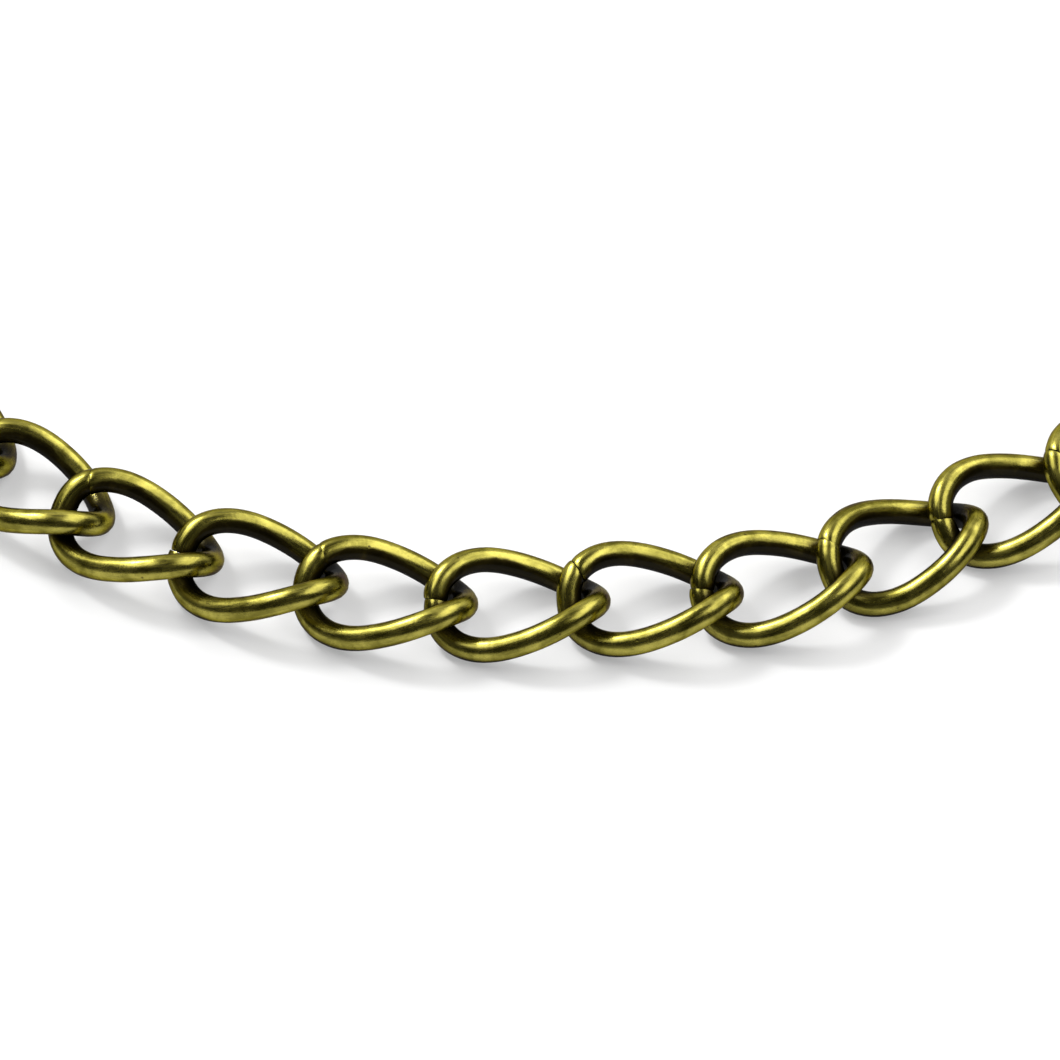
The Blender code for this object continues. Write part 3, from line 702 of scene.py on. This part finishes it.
# %% Stamp the hook and the gate
CLASP_LENGTH = 15.0
CLASP_WIDTH = 8.8
CLASP_THICKNESS = 3.0
CLASP_WALL = 1.7
CLASP_NOSE = 2.2
CLASP_EDGE = 0.3
BASE_OUTER_CORNER = 2.2
BASE_INNER_CORNER = 0.8
NOSE_CORNER = 1.6
EAR_LENGTH = 2.6
BEAK_SETBACK = 2.0
GATE_THICKNESS = 1.4
GATE_DEPTH = 2.2
GATE_LIP = 0.8
GATE_EDGE = 0.12
THUMB_RADIUS = 1.1
THUMB_PROUD = 0.45
THUMB_SETBACK = 2.3
BOSS_RADIUS = 1.25
RIVET_RADIUS = 0.5
SLOT_GAP = 0.2
PIVOT_INSET = 0.25
ARC_STEP = 7.5
BEVEL_STEPS = 3
FAR = 30.0

half_width = CLASP_WIDTH / 2
inside = half_width - CLASP_WALL
nose = CLASP_LENGTH - CLASP_NOSE
pivot = (CLASP_BASE + BOSS_RADIUS, inside + CLASP_WALL / 2 - PIVOT_INSET)
ear_end = CLASP_BASE + EAR_LENGTH
beak_tip = nose - BEAK_SETBACK


def arc(centre, radius, start, end):
    """Points along a circle between two angles in degrees, both ends included."""
    steps = max(1, round(abs(end - start) / ARC_STEP))
    angles = [math.radians(start + (end - start) * step / steps) for step in range(steps + 1)]
    return [(centre[0] + radius * math.cos(a), centre[1] + radius * math.sin(a)) for a in angles]


def hook_outline():
    """The hook from above: a C whose gap, on the left, takes the gate."""
    outer, inner = BASE_OUTER_CORNER, BASE_INNER_CORNER
    beak_angle = math.degrees(math.acos((beak_tip - (CLASP_LENGTH - half_width)) / half_width))
    outline = arc((outer, outer - half_width), outer, 180, 270)
    outline += arc((CLASP_LENGTH - half_width, 0), half_width, -90, beak_angle)
    outline += [(beak_tip, inside)]
    outline += arc((nose - NOSE_CORNER, inside - NOSE_CORNER), NOSE_CORNER, 90, 0)
    outline += arc((nose - NOSE_CORNER, NOSE_CORNER - inside), NOSE_CORNER, 0, -90)
    outline += arc((CLASP_BASE + inner, inner - inside), inner, 270, 180)
    outline += arc((CLASP_BASE + inner, inside - inner), inner, 180, 90)
    outline += [(ear_end, inside)]
    outline += arc((ear_end - CLASP_WALL / 2, half_width - CLASP_WALL / 2), CLASP_WALL / 2, 0, 90)
    outline += arc((outer, half_width - outer), outer, 90, 180)
    return outline


def gate_outline():
    """The gate from above: a boss on the rivet, a lever with a thumb bump, and a lip inside the beak."""
    lip_top = inside - RUN
    low = lip_top - GATE_LIP
    top = low + GATE_DEPTH
    step_x = beak_tip - SLOT_GAP
    rise = THUMB_RADIUS - THUMB_PROUD
    spread_angle = math.degrees(math.asin(rise / THUMB_RADIUS))
    outline = arc(pivot, BOSS_RADIUS, 90, 250)
    outline += [(pivot[0] + BOSS_RADIUS, low)]
    outline += arc((nose - NOSE_CORNER, low + GATE_LIP / 2), GATE_LIP / 2, -90, 90)
    outline += [(step_x, lip_top), (step_x, top)]
    outline += arc((step_x - THUMB_SETBACK, top - rise), THUMB_RADIUS, spread_angle, 180 - spread_angle)
    return outline


def stamped(name, outline, thickness, edge):
    """A flat plate of an outline, with rounded edges."""
    curve = bpy.data.curves.new(name, "CURVE")
    curve.dimensions = "2D"
    curve.fill_mode = "BOTH"
    curve.extrude = thickness / 2 - edge
    curve.bevel_depth = edge
    curve.bevel_resolution = BEVEL_STEPS
    curve.offset = -edge
    spline = curve.splines.new("POLY")
    spline.points.add(len(outline) - 1)
    for spline_point, point in zip(spline.points, outline):
        spline_point.co = (*point, 0, 1)
    spline.use_cyclic_u = True
    flat = plain_mesh(add_object(name, curve))
    face_outwards(flat.data, MERGE_DISTANCE)
    return flat


def drill(name, radius, place, length=FAR):
    """A long round cutter."""
    tool = lathe(name, mirrored([(0, length / 2), (radius, length / 2)]))
    tool.data.transform(place)
    return tool


def block(name, low, high):
    """A box cutter between two corners."""
    mesh = bpy.data.meshes.new(name)
    bm = bmesh.new()
    bmesh.ops.create_cube(bm, size=1)
    bm.to_mesh(mesh)
    bm.free()
    low, high = Vector(low), Vector(high)
    size = Matrix.Diagonal((*(high - low), 1))
    mesh.transform(Matrix.Translation((low + high) / 2) @ size)
    return add_object(name, mesh)


at_pivot = Matrix.Translation((*pivot, 0))
slot_radius = BOSS_RADIUS + SLOT_GAP
slot_half = GATE_THICKNESS / 2 + SLOT_GAP
slot = block("slot", (pivot[0] - slot_radius, pivot[1] - slot_radius, -slot_half),
             (ear_end + SLOT_GAP, FAR, slot_half))
bore_length = 2 * (CLASP_BASE + CLASP_WALL)
bore = drill("bore", POST_RADIUS + RUN, Matrix.Rotation(math.pi / 2, 4, "Y"), bore_length)
hook = stamped("stamped_hook", hook_outline(), CLASP_THICKNESS, CLASP_EDGE)
hook = combine(hook, [bore, slot, drill("hole", RIVET_RADIUS + SEAT, at_pivot)], "DIFFERENCE")
settle(hook, clasp_place, "clasp_body", "clasp")

SPRING_WIRE = 0.3
SPRING_TURNS = 2
SPRING_LEG = 1.0
SPRING_PITCH = 1.05 * SPRING_WIRE
pocket_floor = GATE_THICKNESS / 2 - SPRING_WIRE * (SPRING_TURNS + 1)
pocket_place = at_pivot @ Matrix.Translation((0, 0, pocket_floor + FAR / 2))
gate = stamped("stamped_gate", gate_outline(), GATE_THICKNESS, GATE_EDGE)
pocket = drill("pocket", slot_radius, pocket_place)
gate = combine(gate, [drill("hole", RIVET_RADIUS + RUN, at_pivot), pocket], "DIFFERENCE")
settle(gate, clasp_place, "clasp_gate", "gate")

RIVET_DOME = 0.06
RIVET_FLAT_SHARE = 0.7
rivet_half = CLASP_THICKNESS / 2
half_rivet = [(0, rivet_half), (RIVET_RADIUS * RIVET_FLAT_SHARE, rivet_half - RIVET_DOME / 3),
              (RIVET_RADIUS, rivet_half - RIVET_DOME)]
rivet_place = clasp_place @ Matrix.Translation((pivot[0] * MM, pivot[1] * MM, 0))
settle(lathe("filed_gate_rivet", mirrored(half_rivet)), rivet_place, "gate_rivet", "clasp")
print("hook:", len(hook.data.polygons), "faces, gate:", len(gate.data.polygons), "faces")

# %% [markdown]
# ## The gate's spring
# Two turns of hard-drawn steel wire round the rivet push the gate shut. Nothing on it was plated or
# blackened, so it is a plain grey metal, with the fine marks that drawing and winding leave.

# %% Wind the spring
COIL_STEPS = 48
STEEL = "#8F8D88"
STEEL_GRAIN = 0.1


def spring_steel():
    """Hard-drawn spring wire."""
    material = bpy.data.materials.new("spring_steel_drawn")
    material.use_nodes = True
    tree = material.node_tree
    shader = tree.nodes["Principled BSDF"]
    place = add_node(tree, "ShaderNodeTexCoord").outputs["Object"]
    marks = add_node(tree, "ShaderNodeTexNoise", {
        "Vector": place, "Scale": 1 / (STEEL_GRAIN * MM), "Detail": 2.0,
    }).outputs["Fac"]
    rough = add_node(tree, "ShaderNodeMapRange", {"Value": marks, "To Min": 0.2, "To Max": 0.45})
    tree.links.new(rough.outputs[0], shader.inputs["Roughness"])
    shader.inputs["Base Color"].default_value = colour(STEEL)
    shader.inputs["Metallic"].default_value = 1.0
    return material


coil_radius = RIVET_RADIUS + 2 * RUN + SPRING_WIRE / 2
coil_start = pocket_floor + RUN + SPRING_WIRE / 2
coil = []
for step in range(SPRING_TURNS * COIL_STEPS + 1):
    angle = math.tau * step / COIL_STEPS
    height = coil_start + SPRING_PITCH * step / COIL_STEPS
    coil.append((coil_radius * math.cos(angle), coil_radius * math.sin(angle), height))
coil.insert(0, (coil[0][0], coil[0][1] - SPRING_LEG, coil[0][2]))
coil.append((coil[-1][0], coil[-1][1] + SPRING_LEG, coil[-1][2]))
curve = bpy.data.curves.new("wound_gate_spring", "CURVE")
curve.dimensions = "3D"
curve.bevel_depth = SPRING_WIRE / 2
curve.bevel_resolution = BEVEL_STEPS
curve.use_fill_caps = True
spline = curve.splines.new("POLY")
spline.points.add(len(coil) - 1)
for spline_point, point in zip(spline.points, coil):
    spline_point.co = (*point, 1)
spring = plain_mesh(add_object("wound_gate_spring", curve))
face_outwards(spring.data, MERGE_DISTANCE)
settle(spring, rivet_place, "gate_spring", "gate", spring_steel())
print("spring turns:", SPRING_TURNS)

# %% [markdown]
# ## The studio
# The chain was photographed on white card, and the picture is pure white all round it. So the floor
# shows white to the camera and to the metal, and only part of that white is lit by the lamps: that part
# is what a shadow takes away. The upper strand of a link mirrors the right soft box and the lower strand
# the left one. The dark room on the camera's side draws the dark stripe along the front of each wire,
# and a small key lamp on the left gives the sharper shadow to the right.
#
# Some joints swing the chain below where it lies at rest. So the table has a tree of its own that keeps
# it just under the lowest piece, and hides nothing at any pose.

# %% The floor, the room and the lamps
# Sizes and distances in the studio are in metres.
FLOOR_SIZE = 3.0
FLOOR_GLOW = 0.36
FLOOR_SHADE = "#C0C0C0"


def card():
    """White card that shows white to the camera and in reflections, and keeps a soft shadow."""
    material = bpy.data.materials.new("white_card")
    material.use_nodes = True
    tree = material.node_tree
    tree.nodes.remove(tree.nodes["Principled BSDF"])
    rays = add_node(tree, "ShaderNodeLightPath").outputs
    maths = partial(add_maths, tree)
    seen = maths("MAXIMUM", rays["Is Camera Ray"], rays["Is Glossy Ray"])
    seen = maths("MAXIMUM", seen, rays["Is Transmission Ray"])
    shine = add_node(tree, "ShaderNodeEmission", {"Strength": maths("MULTIPLY", seen, FLOOR_GLOW)})
    matt = add_node(tree, "ShaderNodeBsdfDiffuse", {"Color": colour(FLOOR_SHADE)})
    both = add_node(tree, "ShaderNodeAddShader", {0: shine.outputs[0], 1: matt.outputs[0]})
    tree.links.new(both.outputs[0], tree.nodes["Material Output"].inputs["Surface"])
    return material


def table_tree():
    """A tree that lowers the table to the chain's lowest point, at any pose."""
    tree = bpy.data.node_groups.new("table_under_chain", "GeometryNodeTree")
    for way in ("INPUT", "OUTPUT"):
        tree.interface.new_socket("Geometry", in_out=way, socket_type="NodeSocketGeometry")
    top = add_node(tree, "NodeGroupInput").outputs[0]
    pieces = add_node(tree, "GeometryNodeCollectionInfo", {"Collection": chain},
                      transform_space="RELATIVE")
    real = add_node(tree, "GeometryNodeRealizeInstances", {0: pieces.outputs[0]})
    lowest = add_node(tree, "GeometryNodeBoundBox", {0: real.outputs[0]}).outputs["Min"]
    height = add_node(tree, "ShaderNodeSeparateXYZ", {0: lowest}).outputs["Z"]
    drop = add_node(tree, "ShaderNodeCombineXYZ", {"Z": height})
    lowered = add_node(tree, "GeometryNodeSetPosition", {0: top, "Offset": drop.outputs[0]})
    add_node(tree, "NodeGroupOutput", {0: lowered.outputs[0]})
    return tree


floor_mesh = bpy.data.meshes.new("table")
bm = bmesh.new()
bmesh.ops.create_grid(bm, x_segments=1, y_segments=1, size=FLOOR_SIZE / 2)
bm.to_mesh(floor_mesh)
bm.free()
floor = add_object("table", floor_mesh)
floor.data.materials.append(card())
floor.modifiers.new("under_chain", "NODES").node_group = table_tree()

# The backdrop starts and is full where a direction points this far back, with 1 for straight back.
ROOM_LIGHT = 0.06
BACKDROP_LIGHT = 0.9
BACKDROP_START = 0.2
BACKDROP_FULL = 0.8


def surround():
    """White for the camera. For everything else, a white backdrop behind and a dark room in front."""
    world = bpy.data.worlds.new("studio")
    bpy.context.scene.world = world
    world.use_nodes = True
    tree = world.node_tree
    background = tree.nodes["Background"]
    direction = add_node(tree, "ShaderNodeTexCoord").outputs["Generated"]
    behind = add_node(tree, "ShaderNodeSeparateXYZ", {0: direction}).outputs["Y"]
    room = add_node(tree, "ShaderNodeMapRange", {
        "Value": behind, "From Min": BACKDROP_START, "From Max": BACKDROP_FULL,
        "To Min": ROOM_LIGHT, "To Max": BACKDROP_LIGHT,
    }, interpolation_type="SMOOTHSTEP").outputs[0]
    camera = add_node(tree, "ShaderNodeLightPath").outputs["Is Camera Ray"]
    strength = add_node(tree, "ShaderNodeMix", {"Factor": camera, "A": room, "B": 1.0})
    tree.links.new(strength.outputs[0], background.inputs["Strength"])
    background.inputs["Color"].default_value = (1, 1, 1, 1)


surround()

BOX_DISTANCE = 1.0
RIGHT = Vector((1, 0, 0))


def soft_box(name, sideways, tilt, half_width, half_length, brightness):
    """A soft box over the chain. White paper has a brightness of 1.

    Its angles are seen from the chain, in degrees: how far to the right of the upright it stands, how
    far back it leans, and half of its width and of its length.
    """
    sideways, tilt = math.radians(sideways), math.radians(tilt)
    width = 2 * BOX_DISTANCE * math.tan(math.radians(half_width))
    length = 2 * BOX_DISTANCE * math.tan(math.radians(half_length))
    lamp = bpy.data.lights.new(name, "AREA")
    lamp.shape = "RECTANGLE"
    lamp.size, lamp.size_y = width, length
    lamp.energy = brightness * math.pi * width * length
    upright = math.cos(sideways)
    outwards = Vector((math.sin(sideways), upright * math.sin(tilt), upright * math.cos(tilt)))
    backwards = outwards.cross(RIGHT).normalized()
    axes = Matrix((backwards.cross(outwards), backwards, outwards)).transposed().to_4x4()
    add_object(name, lamp).matrix_world = Matrix.Translation(outwards * BOX_DISTANCE) @ axes


soft_box("left_soft_box", sideways=-33, tilt=17, half_width=14, half_length=28, brightness=3.8)
soft_box("right_soft_box", sideways=35, tilt=12, half_width=17, half_length=36, brightness=3.2)
soft_box("key_light", sideways=-30, tilt=27, half_width=6, half_length=6, brightness=36.0)

# %% [markdown]
# ## The camera
# The photograph looks down on the chain at a little under 50 degrees, from well back, so it is nearly
# free of perspective. Its frame is about 51 mm wide at the chain. The middle link of the bend is a touch
# left of the frame's middle and somewhat below it.

# %% The camera
# The height is in degrees, and the distance and the near clip in metres. A pixel's size at the chain and
# the sensor's width are in millimetres. The middle link's place off the frame's centre is in pixels.
CAMERA_HEIGHT = 47.5
CAMERA_DISTANCE = 0.45
NEAR_CLIP = 0.01
FRAME_PIXELS = 1060
PIXEL = 0.04853
SENSOR = 36
MIDDLE_LINK = "link_18"
OFF_CENTRE = (-13.0, -73.6)

elevation = math.radians(CAMERA_HEIGHT)
back = Vector((0, -math.cos(elevation), math.sin(elevation)))
picture_up = Vector((0, math.sin(elevation), math.cos(elevation)))
off_centre = (RIGHT * OFF_CENTRE[0] + picture_up * OFF_CENTRE[1]) * PIXEL * MM
target = spreads[MIDDLE_LINK][0] - off_centre
camera = add_object("camera", bpy.data.cameras.new("camera"))
camera.data.sensor_width = SENSOR
camera.data.lens = SENSOR * CAMERA_DISTANCE / (PIXEL * FRAME_PIXELS * MM)
camera.data.clip_start = NEAR_CLIP
axes = Matrix((RIGHT, picture_up, back)).transposed().to_4x4()
camera.matrix_world = Matrix.Translation(target + back * CAMERA_DISTANCE) @ axes
bpy.context.scene.camera = camera
bpy.context.scene.view_settings.view_transform = "Standard"
